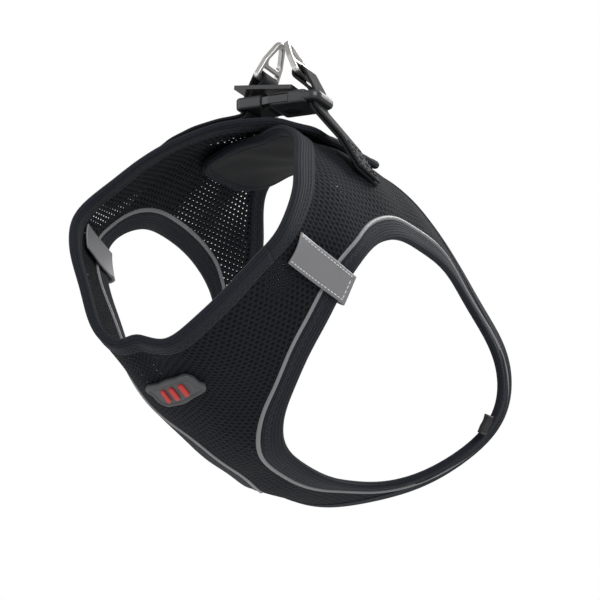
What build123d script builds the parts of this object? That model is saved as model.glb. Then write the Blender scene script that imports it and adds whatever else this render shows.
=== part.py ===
"""Small pet's step-in vest harness: air-mesh vest, two webbing straps, two leash rings, one buckle.

Millimetres. The pet looks along -Y and +Z is up. The pet's left side is +X. The origin is the point
on the midplane where a leash clip takes hold of the two rings.

The vest's fabric lies on one smooth form. A place on the form is (s, t): s runs from the neck edge,
0, to the girth edge, 1, and t runs round the body from the middle of the back, 0, down the left
side to the middle of the belly, 1, and up the right side to the back again, 2.
"""

import os
from math import asin, atan2, cos, degrees, hypot, pi, radians, sin, sqrt, tan

from build123d import *

os.makedirs("parts", exist_ok=True)

# ---------------------------------------------------------------- driving dimensions
# Edges of the form, left half, from the middle of the back to the middle of the belly.
neck_half = [(0, -15, -36), (29, -42, -51), (47.5, -84, -91), (39.5, -102, -122), (15.5, -111, -152), (0, -111, -153)]
girth_half = [(0, 60, -33), (36, 70, -46), (56, 109, -80), (74, 134, -123), (52, 118, -173), (0, 94, -194)]
bulge_half = [(-4,), (12,), (4,), (16,)]
# Edge of the left leg hole as places on the form, evenly spaced round it.
leg_edge = [
    (0.296, 0.453),
    (0.396, 0.413),
    (0.554, 0.408),
    (0.862, 0.514),
    (0.897, 0.795),
    (0.781, 0.878),
    (0.656, 0.884),
    (0.368, 0.814),
    (0.267, 0.592),
]

mesh_thickness = 3.0
binding_thickness = 4.6
binding_width = 7.5
piping_width = 2.4
seam_gap = 0.3
wing_lift = 2.7  # each wing leaves the form by this much where the two wings overlap
wing_end_left = -0.235  # t of the inner wing's end
wing_end_right = 2.16  # t of the outer wing's end
tongue_fold = 0.05  # t of the line that the inner wing's tongue peels about
shoulder_seam = 0.53
chest_seam = 0.77
ramp_softness = 0.02
seam_share = 0.002  # gap in t between two panels

tab_middle = (0.182, 0.5292)
tab_length = 43.5
tab_width = 14.5
tab_thickness = 0.8
tab_inside = 5.4  # room between a tab's two leaves
patch_reach = 25

pad_thickness = 0.8
pad_lift = 0.6

badge_length = 25.0
badge_height = 15.0
badge_thickness = 2.0
badge_lift = 2.85
emblem_thickness = 0.6
emblem_lift = 4.4
label_thickness = 1.2
label_lift = 3.2

webbing_width = 15.0
webbing_thickness = 1.4

rig_tilt = 8.0  # the buckle hangs with its left end higher by this many degrees
buckle_centre = (0, 0, -22.7)
buckle_width = 21.0
buckle_thickness = 6.6
plug_half = 3.0
prong_half = 1.7
dish_radius = 21.0

slot_length = 16.4
slot_x = 16.5  # middle of the webbing slot at each end of the buckle
slot_width = 3.8
end_bar_half = 2.4

ring_lean = 26.0  # each ring leans inwards by this many degrees
ring_thickness = 2.5
ring_axis_x = 9.8
ring_axis_z = 12.6
loop_radius = 2.8  # middle of the webbing where it folds round a ring
webbing_bend = 1.2
slant = 0.34  # how far forwards a strap runs for each millimetre out from slant_start
slant_start = 20.0
strap_end = 64.0
layer_gap = 0.9  # half the distance between the middles of two layers

plate_thickness = 1.9
end_share = 0.045  # width in t of the binding across a wing's end


# ---------------------------------------------------------------- the form of the vest
def share(count, turn):
    """Share of one of count evenly spaced points, that many radians away round a closed curve."""
    turn = (turn + pi) % (2 * pi) - pi
    if abs(turn) < 1e-9:
        return 1.0
    return sin(count * turn / 2) / (count * (sin(turn / 2) if count % 2 else tan(turn / 2)))


def closed_curve(points, u):
    """Place on the smooth closed curve through evenly spaced points, u from 0 to 1 round it."""
    count = len(points)
    shares = [share(count, 2 * pi * (u - i / count)) for i in range(count)]
    return [sum(w * p[k] for w, p in zip(shares, points)) for k in range(len(points[0]))]


def whole(half):
    """Both sides of an edge or a value given from the back to the belly."""
    return half + [(-p[0], *p[1:]) if len(p) == 3 else p for p in reversed(half[1:-1])]


def form(s, t, lift=0.0):
    """Place on the form, moved outwards by lift."""
    neck = closed_curve(whole(neck_half), t / 2)
    girth = closed_curve(whole(girth_half), t / 2)
    out = 4 * s * (1 - s) * closed_curve(whole(bulge_half), t / 2)[0] + lift
    x, y, z = [(1 - s) * a + s * b for a, b in zip(neck, girth)]
    return Vector(x + out * sin(pi * t), y, z + out * cos(pi * t))


def width_share(t, width):
    """A width measured from the neck edge towards the girth edge, as a share of s."""
    return width / (form(1, t) - form(0, t)).length


def overlap_lift(t):
    """How far the fabric stands off the form: the left wing inside, the right wing outside."""
    left = min(max((0.34 - t) / 0.14, 0), 1)
    right = min(max((t - 1.66) / 0.14, 0), 1)
    return wing_lift * (right * right * (3 - 2 * right) - left * left * (3 - 2 * left))


def form_face(start, stop, t_first, t_last, lift=0.0, rows=7, columns=13):
    """Face on the form between the curves s = start(t) and s = stop(t)."""
    grid = []
    for j in range(columns):
        t = t_first + (t_last - t_first) * j / (columns - 1)
        s_values = [start(t) + (stop(t) - start(t)) * i / (rows - 1) for i in range(rows)]
        grid.append([form(s, t, overlap_lift(t) + lift) for s in s_values])
    return Face.make_surface_from_array_of_points(grid, tol=0.02)


def ramp(t):
    """Nothing below 0 and t above it, with a soft turn between."""
    return (t + sqrt(t * t + ramp_softness**2)) / 2


def neck_edge(t):
    """The vest's front edge: the neck, and the slanted front corner of each wing's end."""
    return 1.75 * ramp(-t) + 1.35 * ramp(t - 2.035)


def girth_edge(t):
    """The vest's rear edge: the girth, and the rounded rear corner of each wing's end."""
    return 1 - 2.4 * ramp(-0.15 - t) - 0.9 * ramp(t - 2.08)


def neck_side(t):
    """Inner edge of the neck binding."""
    return neck_edge(t) + width_share(t, binding_width)


def girth_side(t):
    """Inner edge of the girth binding."""
    return girth_edge(t) - width_share(t, binding_width)


def mesh_start(t):
    """Front edge of the mesh."""
    return neck_edge(t) + width_share(t, binding_width + seam_gap)


def mesh_stop(t):
    """Rear edge of the mesh."""
    return girth_edge(t) - width_share(t, binding_width + seam_gap)


# Outline of the left leg hole, in a plane square to the way the leg passes through it.
leg_plane = Plane(origin=(50, 22, -134), x_dir=(0.12, 0.99, 0), z_dir=(0.93, -0.115, -0.35))
leg_reach = 60


def leg_outline(margin):
    """The leg hole's outline in leg_plane, that much larger all round."""
    count = 30
    local = [leg_plane.to_local_coords(form(*closed_curve(leg_edge, i / count))) for i in range(count)]
    points = []
    for i, point in enumerate(local):
        along = local[(i + 1) % count] - local[i - 1]
        outward = Vector(-along.Y, along.X).normalized()
        points.append((point.X + margin * outward.X, point.Y + margin * outward.Y))
    with BuildSketch(leg_plane) as outline:
        with BuildLine():
            Spline(points, periodic=True)
        make_face()
    return outline.sketch


def shell(start, stop, t_first, t_last, thickness, lift=0.0, rows=7, columns=13):
    """Solid sheet on the form, that thick, between two curves in s and two values of t."""
    face = form_face(start, stop, t_first, t_last, lift - thickness / 2, rows, columns)
    outward = form(0.5, (t_first + t_last) / 2, 1) - form(0.5, (t_first + t_last) / 2)
    amount = thickness if face.normal_at().dot(outward) > 0 else -thickness
    return thicken(face, amount)


def cut_leg(outline):
    """Cut the left leg hole through the part under construction."""
    extrude(outline, leg_reach, both=True, mode=Mode.SUBTRACT)


def save(piece, name):
    """Label and write one piece."""
    piece.label = name
    export_step(piece, f"parts/{name}.step")


def save_pair(piece, name):
    """Write a piece as the left one and its mirror image as the right one."""
    save(piece, f"left_{name}")
    save(mirror(piece, Plane.YZ), f"right_{name}")


def patch(middle, heading, outline):
    """Extrude an outline, drawn flat on the form at middle and turned towards heading, through it."""
    centre = form(*middle)
    plane = Plane(origin=centre, x_dir=form(*heading) - centre, z_dir=form(*middle, 1) - centre)
    extrude(plane * outline, patch_reach, both=True, mode=Mode.INTERSECT)


leg_cut = leg_outline(0)
leg_rim = leg_outline(binding_width)
pipe_inside = leg_outline(binding_width + seam_gap)
pipe_outside = leg_outline(binding_width + seam_gap + piping_width)
mesh_inside = leg_outline(binding_width + 2 * seam_gap + piping_width)

# ---------------------------------------------------------------- mesh panels
with BuildPart() as chest_panel:
    shell(mesh_start, mesh_stop, chest_seam, 2 - chest_seam, mesh_thickness, rows=11)
    cut_leg(mesh_inside)
    cut_leg(mirror(mesh_inside, Plane.YZ, mode=Mode.PRIVATE))
save(chest_panel.part, "chest_panel")

with BuildPart() as shoulder_panel:
    shell(mesh_start, lambda t: 0.6, shoulder_seam, chest_seam - seam_share, mesh_thickness)
    cut_leg(mesh_inside)
save_pair(shoulder_panel.part, "shoulder_panel")

# The left wing lies inside and ends at the fold of its tongue; the right one crosses over it.
with BuildPart() as left_wing_panel:
    shell(mesh_start, mesh_stop, tongue_fold, shoulder_seam - seam_share, mesh_thickness, rows=9, columns=17)
    cut_leg(mesh_inside)
save(left_wing_panel.part, "left_wing_panel")

right_wing_start = 2 - shoulder_seam + seam_share
with BuildPart() as right_wing_panel:
    shell(mesh_start, mesh_stop, right_wing_start, wing_end_right - end_share, mesh_thickness, rows=9, columns=25)
    cut_leg(mirror(mesh_inside, Plane.YZ, mode=Mode.PRIVATE))
save(right_wing_panel.part, "right_wing_panel")

# ---------------------------------------------------------------- bindings and trim
with BuildPart() as left_neck_binding:
    shell(neck_edge, neck_side, tongue_fold, 1, binding_thickness, rows=3, columns=37)
save(left_neck_binding.part, "left_neck_binding")

with BuildPart() as right_neck_binding:
    shell(neck_edge, neck_side, 1 + 2 * seam_share, wing_end_right, binding_thickness, rows=3, columns=49)
save(right_neck_binding.part, "right_neck_binding")

with BuildPart() as girth_binding:
    shell(girth_side, girth_edge, tongue_fold, 1, binding_thickness, rows=3, columns=37)
    shell(girth_side, girth_edge, 1, wing_end_right, binding_thickness, rows=3, columns=49)
    cut_leg(mesh_inside)
    cut_leg(mirror(mesh_inside, Plane.YZ, mode=Mode.PRIVATE))
save(girth_binding.part, "girth_binding")

end_start = wing_end_right - end_share + seam_share
with BuildPart() as wing_end_binding:
    shell(mesh_start, mesh_stop, end_start, wing_end_right, binding_thickness, columns=3)
save(wing_end_binding.part, "wing_end_binding")

with BuildPart() as leg_binding:
    shell(lambda t: 0.15, lambda t: 1, 0.3, 1, binding_thickness, rows=9, columns=21)
    extrude(leg_rim, leg_reach, both=True, mode=Mode.INTERSECT)
    cut_leg(leg_cut)
save_pair(leg_binding.part, "leg_binding")

with BuildPart() as leg_piping:
    shell(lambda t: 0.1, lambda t: 1, 0.25, 1, piping_width, rows=9, columns=21)
    extrude(pipe_outside, leg_reach, both=True, mode=Mode.INTERSECT)
    cut_leg(pipe_inside)
save_pair(leg_piping.part, "leg_piping")

# Two leaves of reflective tape over the shoulder, joined round the leg hole's edge.
tab_outline = RectangleRounded(tab_length, tab_width, 1)
with BuildPart() as tab_core:
    shell(lambda t: 0, lambda t: 0.5, 0.4, 0.68, tab_inside)
    cut_leg(leg_outline(-seam_gap))
with BuildPart() as reflective_tab:
    shell(lambda t: 0.01, lambda t: 0.45, 0.42, 0.66, tab_inside + 2 * tab_thickness)
    patch(tab_middle, (0.29, 0.5525), tab_outline)
    add(tab_core.part, mode=Mode.SUBTRACT)
save_pair(reflective_tab.part, "reflective_tab")

# ---------------------------------------------------------------- inner wing's tongue
fold_stop = tongue_fold - seam_share
tongue_inner_end = wing_end_left + end_share
with BuildPart() as tongue_inside:
    shell(neck_side, girth_side, tongue_inner_end, tongue_fold + 0.03, 2 * binding_thickness, rows=9, columns=25)
with BuildPart() as tongue_binding:
    shell(neck_edge, girth_edge, wing_end_left, fold_stop, binding_thickness, rows=9, columns=25)
    add(tongue_inside.part, mode=Mode.SUBTRACT)
save(tongue_binding.part, "tongue_binding")

with BuildPart() as wing_tongue:
    shell(neck_edge, girth_edge, wing_end_left, fold_stop, mesh_thickness, rows=9, columns=25)
    add(tongue_inside.part, mode=Mode.INTERSECT)
save(wing_tongue.part, "wing_tongue")

with BuildPart() as hook_pad:
    shell(lambda t: 0.43, lambda t: 0.74, -0.165, 0.03, pad_thickness, lift=wing_lift - pad_lift)
save(hook_pad.part, "hook_pad")

with BuildPart() as loop_pad:
    shell(lambda t: 0.43, lambda t: 0.74, 1.835, 2.03, pad_thickness, lift=pad_lift - wing_lift)
save(loop_pad.part, "loop_pad")

# ---------------------------------------------------------------- badge and label
badge_middle = (0.155, 0.96)
badge_heading = (0.13, 0.86)
badge_outline = RectangleRounded(badge_length, badge_height, 3)
with BuildPart() as chest_badge:
    shell(lambda t: 0.02, lambda t: 0.35, 0.8, 1.15, badge_thickness, lift=badge_lift)
    patch(badge_middle, badge_heading, badge_outline)
save(chest_badge.part, "chest_badge")

with BuildSketch() as slanted_bars:
    with GridLocations(5, 0, 3, 1):
        SlotOverall(8, 2.4, rotation=65)
with BuildPart() as badge_emblem:
    shell(lambda t: 0.02, lambda t: 0.35, 0.8, 1.15, emblem_thickness, lift=emblem_lift)
    patch(badge_middle, badge_heading, slanted_bars.sketch)
save(badge_emblem.part, "badge_emblem")

label_outline = RectangleRounded(5, 9, 0.5)
with BuildPart() as seam_label:
    shell(lambda t: 0.8, lambda t: 0.999, 0.6, 0.8, label_thickness, lift=label_lift)
    patch((0.905, 0.69), (1, 0.69), label_outline)
save(seam_label.part, "seam_label")

# ---------------------------------------------------------------- buckle
# The hardware's frame: +X towards the left strap, +Y rearwards, +Z up through the buckle.
tilt = radians(rig_tilt)
rig = Plane(origin=buckle_centre, x_dir=(cos(tilt), 0, sin(tilt)), z_dir=(-sin(tilt), 0, cos(tilt)))
rig_side = Plane(origin=buckle_centre, x_dir=rig.x_dir, z_dir=(0, -1, 0))


def rig_block(x_first, x_last, y_half, z_half, mode=Mode.ADD, y_middle=0.0):
    """Block about the buckle's middle plane."""
    with BuildSketch(rig) as block:
        with Locations(((x_first + x_last) / 2, y_middle)):
            Rectangle(x_last - x_first, 2 * y_half)
    extrude(block.sketch, z_half, both=True, mode=mode)


def round_rims(piece, radius):
    """Round the upper and lower rims of a buckle piece."""
    flat = [f for f in piece.faces() if abs(f.normal_at().dot(rig.z_dir)) > 0.999]
    flat.sort(key=lambda f: rig.to_local_coords(f.center()).Z)
    fillet(flat[0].outer_wire().edges() + flat[-1].outer_wire().edges(), radius)


def slab(x_first, x_last, z_half, corner, rim):
    """Block about the buckle's middle plane with rounded corners and rims."""
    with BuildPart() as block:
        with BuildSketch(rig):
            with Locations(((x_first + x_last) / 2, 0)):
                RectangleRounded(x_last - x_first, buckle_width, corner)
        extrude(amount=z_half, both=True)
        round_rims(block, rim)
    return block.part


# The socket's thick body, and the thinner loop beyond it that holds the strap.
socket_body = slab(-4, slot_x - slot_width / 2, buckle_thickness / 2, 2.5, 1.6)
socket_loop = slab(-2, 20.9, end_bar_half, 4.5, 1.8)
with BuildPart() as buckle_socket:
    add(socket_body)
    add(socket_loop)
    rig_block(slot_x - slot_width / 2, slot_x + slot_width / 2, slot_length / 2, 4, Mode.SUBTRACT)
    rig_block(-4.1, 6, 11, 2.1, Mode.SUBTRACT)
    rig_block(5.9, 13, 8.2, 2.1, Mode.SUBTRACT)
    rig_block(7.6, 11.5, 9.4, 2.1, Mode.SUBTRACT)
    with Locations(rig * Location((4, 0, -buckle_thickness / 2 - dish_radius + 0.6))):
        Sphere(dish_radius, mode=Mode.SUBTRACT)
save(buckle_socket.part, "buckle_socket")

prong_root = (-6.2, 8.3)
with BuildPart() as buckle_plug:
    add(slab(-20.5, -4.5, plug_half, 2.5, 1.4))
    rig_block(-slot_x - slot_width / 2 + 0.2, -slot_x + slot_width / 2 + 0.2, slot_length / 2, 4, Mode.SUBTRACT)
    for side in (-1, 1):
        rig_block(prong_root[0] - 1.7, -4.4, 2, 4, Mode.SUBTRACT, side * prong_root[1])
        rig_block(-8, -4.4, 1, 4, Mode.SUBTRACT, side * 10.3)
    rig_block(-5, 10, 1.6, 1.6)
save(buckle_plug.part, "buckle_plug")

prong_points = [
    (-7.5, 9.6),
    (-4.2, 10.2),
    (5.7, 10.2),
    (5.7, 7.9),
    (7.9, 7.9),
    (7.9, 9.1),
    (9, 9.1),
    (11, 7),
    (11, 5.9),
    (5.7, 5.9),
    (4.5, 7.4),
    (-4.2, 7.4),
    (-7.5, 7),
]
with BuildPart() as prong:
    with BuildSketch(rig):
        with BuildLine():
            Polyline(prong_points, close=True)
        make_face()
    extrude(amount=prong_half, both=True)
save(prong.part, "prong_rear")
save(mirror(prong.part, Plane.XZ), "prong_front")

# A flat plate rides on the right strap, above the buckle.
with BuildPart() as keeper_plate:
    with BuildSketch(rig_side):
        with BuildLine():
            Line((-21, 8.2), (7.5, 4.9))
        trace(line_width=plate_thickness)
    extrude(amount=10, both=True)
    rig_block(-17.2, -8.6, slot_length / 2, 12, Mode.SUBTRACT)
save(keeper_plate.part, "keeper_plate")


# ---------------------------------------------------------------- rings
def ring_axis(side):
    """Middle of the bar that a strap folds round, in the hardware's side view."""
    return (side * ring_axis_x, ring_axis_z)


def leash_ring(side):
    """One flat leash ring, standing on the bar that its strap folds round."""
    lean = radians(rig_tilt + side * ring_lean)
    origin = rig.from_local_coords(Vector(side * ring_axis_x, 0, ring_axis_z))
    with BuildPart() as ring:
        with BuildSketch(Plane(origin=origin, x_dir=(0, 1, 0), z_dir=(cos(lean), 0, sin(lean)))):
            with Locations((-8.9, 0.8), (8.9, 0.8)):
                Circle(2.1)
            with Locations((-6.6, 8.0), (6.6, 8.0)):
                Circle(2.6)
            with Locations((0, 14.3)):
                Circle(5)
            make_hull()
            with BuildSketch(mode=Mode.SUBTRACT):
                with Locations((-4.8, 8.9), (4.8, 8.9)):
                    Circle(1.6)
                with Locations((0, 14)):
                    Circle(2.6)
                make_hull()
            with Locations((0, 3.1)):
                RectangleRounded(slot_length, slot_width, 1, mode=Mode.SUBTRACT)
        extrude(amount=ring_thickness / 2, both=True)
        fillet(ring.edges().filter_by(lambda e: abs(ring_height(e, origin, lean)) > 1.2), 0.6)
    return ring.part


def ring_height(edge, origin, lean):
    """Distance of an edge from the ring's middle plane."""
    return (edge.center() - origin).dot(Vector(cos(lean), 0, sin(lean)))


save(leash_ring(1), "left_ring")
save(leash_ring(-1), "right_ring")


# ---------------------------------------------------------------- straps
def touch_point(point, side, turn):
    """Where the line from a point touches the loop of webbing round a ring's bar."""
    x, z = ring_axis(side)
    reach = hypot(x - point[0], z - point[1])
    heading = atan2(z - point[1], x - point[0]) + turn * asin(loop_radius / reach)
    run = sqrt(reach**2 - loop_radius**2)
    return (point[0] + run * cos(heading), point[1] + run * sin(heading))


def over_wing(t, lift):
    """Place over the wing beneath the middle of a strap, in the hardware's side view."""
    neck = form(0, t)
    girth = form(1, t)
    place = form(neck.Y / (neck.Y - girth.Y), t, overlap_lift(t) + lift)
    return tuple(rig_side.to_local_coords(place))[:2]


def strap_plan(side):
    """Outline of a strap seen from above: it runs slightly towards the neck below the buckle."""
    half = webbing_width / 2
    forward = slant * (strap_end - slant_start)
    with BuildSketch() as plan:
        with BuildLine():
            Polyline(
                (0, -half),
                (side * slant_start, -half),
                (side * strap_end, -half - forward),
                (side * strap_end, half - forward),
                (side * slant_start, half),
                (0, half),
                close=True,
            )
        make_face()
    return plan.sketch


def strap(side, slot, outer_sewn, inner_sewn, outer_low, inner_low):
    """Webbing from the wing, through the buckle's slot, round the ring's bar and back to the wing."""
    outer_high = (slot + side * layer_gap, 3.6)
    inner_high = (slot - side * layer_gap, 3.6)
    outer_touch = touch_point(outer_high, side, -side)
    inner_touch = touch_point(inner_high, side, side)
    axis_x, axis_z = ring_axis(side)
    first = degrees(atan2(outer_touch[1] - axis_z, outer_touch[0] - axis_x))
    last = degrees(atan2(inner_touch[1] - axis_z, inner_touch[0] - axis_x))
    with BuildPart() as webbing:
        with BuildSketch(rig_side):
            with BuildLine():
                FilletPolyline(*outer_sewn, outer_low, outer_high, outer_touch, radius=webbing_bend)
                CenterArc(ring_axis(side), loop_radius, first, side * ((side * (last - first)) % 360))
                FilletPolyline(inner_touch, inner_high, inner_low, *inner_sewn, radius=webbing_bend)
            trace(line_width=webbing_thickness)
        extrude(amount=webbing_width / 2 + slant * 45, both=True)
        extrude(strap_plan(side), 80, both=True, mode=Mode.INTERSECT)
    return webbing.part


left_strap = strap(
    1,
    slot_x,
    [(48.4, -40.4), (37, -23.7)],
    [(35.5, -24.7), (47, -41.4)],
    (slot_x + layer_gap, -4),
    (slot_x - layer_gap, -4.8),
)
save(left_strap, "left_strap")

right_strap = strap(
    -1,
    0.2 - slot_x,
    [over_wing(t, 5.4) for t in (1.71, 1.755, 1.8)],
    [over_wing(t, 3.6) for t in (1.8, 1.755, 1.71)],
    (0.2 - slot_x - layer_gap, -3.6),
    (0.2 - slot_x + layer_gap, -4.9),
)
save(right_strap, "right_strap")
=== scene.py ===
"""Looks of a small pet's step-in vest harness, on its CAD frame: +Z up, the pet looks along -Y.

Shapes and lengths on the fabric are in millimetres, the studio and the camera in metres.
"""
from math import asin, atan2, cos, hypot, pi, radians, sin, sqrt

import bmesh
import bpy
import numpy as np
from mathutils import Matrix, Vector


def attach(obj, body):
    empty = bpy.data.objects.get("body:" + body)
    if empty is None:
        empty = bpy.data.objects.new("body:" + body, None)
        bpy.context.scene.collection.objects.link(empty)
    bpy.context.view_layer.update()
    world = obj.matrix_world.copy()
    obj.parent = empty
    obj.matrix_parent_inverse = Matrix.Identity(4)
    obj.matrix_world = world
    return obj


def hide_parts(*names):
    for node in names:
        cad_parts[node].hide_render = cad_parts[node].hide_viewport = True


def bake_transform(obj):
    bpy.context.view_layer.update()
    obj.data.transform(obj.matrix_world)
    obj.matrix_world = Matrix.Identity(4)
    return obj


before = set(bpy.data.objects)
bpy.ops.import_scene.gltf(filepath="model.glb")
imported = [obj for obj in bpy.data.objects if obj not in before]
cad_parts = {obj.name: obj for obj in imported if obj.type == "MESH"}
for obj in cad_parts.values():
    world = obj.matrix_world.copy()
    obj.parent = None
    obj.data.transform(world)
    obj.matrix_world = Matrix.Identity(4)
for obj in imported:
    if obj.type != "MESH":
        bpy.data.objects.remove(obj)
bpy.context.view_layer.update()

MM = 0.001

# ---------------------------------------------------------------- the form of the vest, in millimetres
NECK = [
    (0, -15, -36), (29, -42, -51), (47.5, -84, -91), (39.5, -102, -122), (15.5, -111, -152), (0, -111, -153),
]
GIRTH = [(0, 60, -34), (36, 70, -46.5), (55, 109, -80), (74, 134, -123), (52, 118, -171.5), (0, 94, -192)]
BULGE = [(-4,), (11,), (4,), (15,)]
LEG_EDGE = [
    (0.296, 0.453), (0.402, 0.415), (0.568, 0.400), (0.896, 0.506), (0.932, 0.795),
    (0.812, 0.890), (0.618, 0.890), (0.366, 0.816), (0.267, 0.592),
]
WING_LIFT = 2.4
WING_END_LEFT = -0.245
WING_END_RIGHT = 2.13
OVERLAP_RAMP = 0.14  # the wings part over this much of t
OVERLAP_LEFT = 0.34  # t where the left wing starts to go under
OVERLAP_RIGHT = 1.66  # t where the right wing starts to go over
RAMP_SOFTNESS = 0.02
SHOULDER = 0.53


def both_sides(half):
    """Both sides of an edge given from the back to the belly."""
    rest = [(-p[0], *p[1:]) if len(p) == 3 else p for p in reversed(half[1:-1])]
    return np.array(half + rest, float)


NECK, GIRTH, BULGE = both_sides(NECK), both_sides(GIRTH), both_sides(BULGE)
NECK[7:10] += [(1, 0, 0.5), (0.6, 0, -0.5), (0.5, 0, -2.5)]  # the right side has sagged inwards a little
LEG_EDGE = np.array(LEG_EDGE)


def closed_curve(points, u):
    """Places on the smooth closed curve through evenly spaced points."""
    count = len(points)
    turn = (2 * pi * (np.asarray(u)[..., None] - np.arange(count) / count) + pi) % (2 * pi) - pi
    turn = np.where(abs(turn) < 1e-7, 1e-7, turn)
    below = np.sin(turn / 2) if count % 2 else np.tan(turn / 2)
    return (np.sin(count * turn / 2) / (count * below)) @ points


def soft_step(value):
    value = np.clip(value, 0, 1)
    return value * value * (3 - 2 * value)


def outward(t):
    """Direction away from the body's middle line."""
    return np.stack([np.sin(pi * t), 0 * t, np.cos(pi * t)], -1)


def overlap_lift(t):
    """How far the fabric stands off the form: the left wing inside, the right wing outside."""
    over, under = soft_step((t - OVERLAP_RIGHT) / OVERLAP_RAMP), soft_step((OVERLAP_LEFT - t) / OVERLAP_RAMP)
    return WING_LIFT * (over - under)


def ripple(s, t):
    """Gentle unevenness of soft fabric, the same for every piece that lies on the form."""
    long_waves = 0.45 * np.sin(9.1 * s + 17.0 * t + 0.4) + 0.35 * np.sin(23.0 * s - 11.0 * t + 1.7)
    return long_waves + 0.2 * np.sin(41 * t + 5 * s)


def form(s, t):
    """Middle of the fabric, its overlap and its unevenness included."""
    s, t = np.asarray(s, float), np.asarray(t, float)
    out = 4 * s * (1 - s) * closed_curve(BULGE, t / 2)[..., 0] + overlap_lift(t) + ripple(s, t)
    line = (1 - s)[..., None] * closed_curve(NECK, t / 2) + s[..., None] * closed_curve(GIRTH, t / 2)
    return line + out[..., None] * outward(t)


def slopes(s, t):
    """How the form's places move with s and with t."""
    e = 1e-3
    return (form(s + e, t) - form(s - e, t)) / (2 * e), (form(s, t + e) - form(s, t - e)) / (2 * e)


def unit(v):
    return v / np.linalg.norm(v, axis=-1, keepdims=True)


def normal(s, t):
    along_s, along_t = slopes(s, t)
    n = unit(np.cross(along_t, along_s))
    return n * np.sign((n * outward(t)).sum(-1, keepdims=True))


def skin(s, t, lift=0.0):
    """Place on the fabric, moved square to it by lift."""
    return form(s, t) + np.asarray(lift)[..., None] * normal(s, t)


def settle(s, t, target, steps=4):
    """The place on the form nearest to a point close to it."""
    for _ in range(steps):
        along_s, along_t = slopes(s, t)
        miss = target - form(s, t)
        a, b, c = (along_s**2).sum(-1), (along_s * along_t).sum(-1), (along_t**2).sum(-1)
        p, q = (miss * along_s).sum(-1), (miss * along_t).sum(-1)
        det = a * c - b * b
        s = s + (c * p - b * q) / det
        t = t + (a * q - b * p) / det
    return s, t


def ramp(t):
    """Nothing below 0 and t above it, with a soft turn between."""
    return (t + np.sqrt(t * t + RAMP_SOFTNESS**2)) / 2


def neck_edge(t):
    """The vest's front edge, the slanted front corner of each wing's end included."""
    return 1.75 * ramp(-t) + 1.35 * ramp(t - 2.035)


def girth_edge(t):
    """The vest's rear edge, the rounded rear corner of each wing's end included."""
    return 1 - 2.4 * ramp(-0.15 - t) - 0.9 * ramp(t - 2.08)


def girth_length(t):
    """Length of the form from neck to girth, for UVs in millimetres."""
    return np.linalg.norm(closed_curve(GIRTH, t / 2) - closed_curve(NECK, t / 2), axis=-1)


def run_along(points):
    """Length of a path of points up to each of them."""
    return np.concatenate([[0], np.cumsum(np.linalg.norm(np.diff(points, axis=0), axis=1))])


T_TABLE = np.linspace(-0.3, 2.3, 800)
U_TABLE = run_along(form(0.5 + 0 * T_TABLE, T_TABLE))


# ---------------------------------------------------------------- meshes
def mesh_object(name, points, faces, uvs=None, smooth=True):
    """A mesh from points in millimetres, faces, and optionally one list of UVs per face."""
    mesh = bpy.data.meshes.new(name)
    mesh.from_pydata([tuple(p) for p in np.asarray(points) * MM], [], faces)
    if uvs is not None:
        layer = mesh.uv_layers.new(name="UVMap")
        for face, given in zip(mesh.polygons, uvs):
            for loop, uv in zip(face.loop_indices, given):
                layer.data[loop].uv = uv
    mesh.polygons.foreach_set("use_smooth", [smooth] * len(mesh.polygons))
    mesh.update()
    piece = bpy.data.objects.new(name, mesh)
    bpy.context.collection.objects.link(piece)
    return piece


def grid_faces(rows, columns, close_rows=False, close_columns=False):
    """Quads of a grid stored row by row, and each corner's (row, column) without wrapping."""
    faces, corners = [], []
    for i in range(rows if close_rows else rows - 1):
        for j in range(columns if close_columns else columns - 1):
            square = [(i, j), (i, j + 1), (i + 1, j + 1), (i + 1, j)]
            faces.append([(a % rows) * columns + b % columns for a, b in square])
            corners.append(square)
    return faces, corners


def strip(name, path, profile, side=1, closed=False, widen=1.0, shift=0.0):
    """Tape along a path of places on the form.

    The profile is a closed loop of (distance in from the path, lift). Widen and shift change the
    distances, for the whole path or for each of its places.
    """
    s, t = path.T
    place = form(s, t)
    if closed:
        along = unit(np.roll(place, -1, 0) - np.roll(place, 1, 0))
    else:
        along = unit(np.gradient(place, axis=0))
    inwards = np.cross(normal(s, t), along) * side
    rings = []
    for distance, lift in profile:
        reach = distance * widen + shift + 0 * s
        places = settle(s, t, place + reach[:, None] * inwards)
        rings.append(skin(*places, lift + 0 * s))
    points = np.array(rings)
    length = run_along(place)
    length = np.append(length, length[-1] + np.linalg.norm(place[0] - place[-1]))
    width = run_along(np.array(profile + profile[:1]))
    rows, columns = points.shape[:2]
    faces, corners = grid_faces(rows, columns, True, closed)
    uvs = [[(length[b], width[a]) for a, b in square] for square in corners]
    if not closed:
        for end in (0, columns - 1):
            faces.append([a * columns + end for a in range(rows)])
            uvs.append([(0, 0)] * rows)
    piece = mesh_object(name, points.reshape(-1, 3), faces, uvs)
    fix_normals(piece)
    return piece


def fix_normals(piece):
    """Turn all faces outwards."""
    bm = bmesh.new()
    bm.from_mesh(piece.data)
    bmesh.ops.recalc_face_normals(bm, faces=bm.faces)
    bm.to_mesh(piece.data)
    bm.free()


def even_loop(points, count=240, waves=6):
    """Closed path of evenly spaced places on the form, smoothed by keeping only its longest waves."""
    path = closed_curve(points, np.linspace(0, 1, 2 * count + 1))
    run = run_along(form(*path.T))
    at = np.linspace(0, run[-1], count, endpoint=False)
    even = np.fft.rfft(np.stack([np.interp(at, run, path[:, k]) for k in (0, 1)]))
    even[:, waves:] = 0
    return np.fft.irfft(even, count).T


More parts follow.
